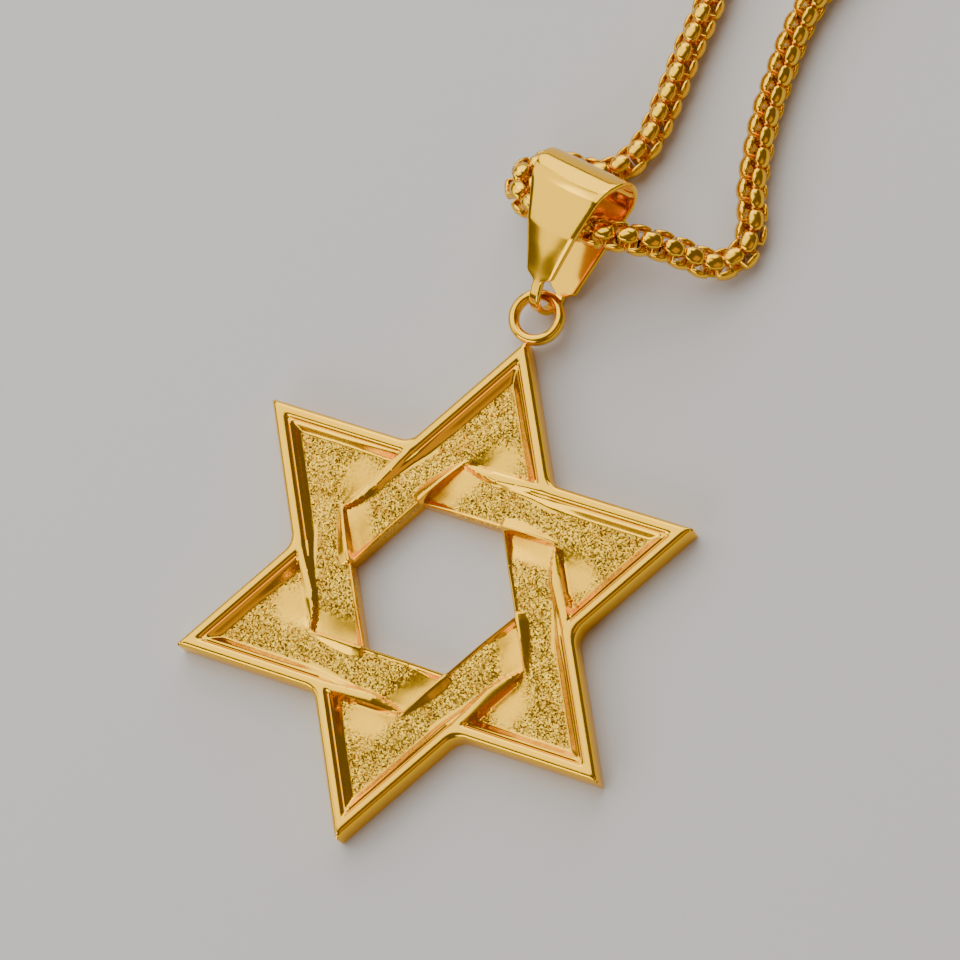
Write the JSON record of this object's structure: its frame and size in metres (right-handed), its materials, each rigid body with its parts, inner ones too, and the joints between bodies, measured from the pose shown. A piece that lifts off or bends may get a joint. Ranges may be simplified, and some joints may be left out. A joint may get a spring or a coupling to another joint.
{
  "type": "star of david pendant necklace",
  "caption": "Gold woven six-pointed star pendant with sandblasted recessed bands and polished rims, on a folded bail and a long round box chain.",
  "frame": {"origin": "centre of the star, on its flat back face", "axes": "+X to the star's right seen from its front, +Y from the star's centre to its eyelet and the chain, +Z out of the star's front"},
  "size_m": [0.1408, 0.2889, 0.0094],
  "materials": {
    "gold": "polished gold plating, sandblasted in the recesses",
    "chain_gold": "polished gold plating"
  },
  "bodies": {
    "root": {"star": "gold", "bail": "gold", "chain": "chain_gold", "clasp": "gold"}
  },
  "joints": []
}
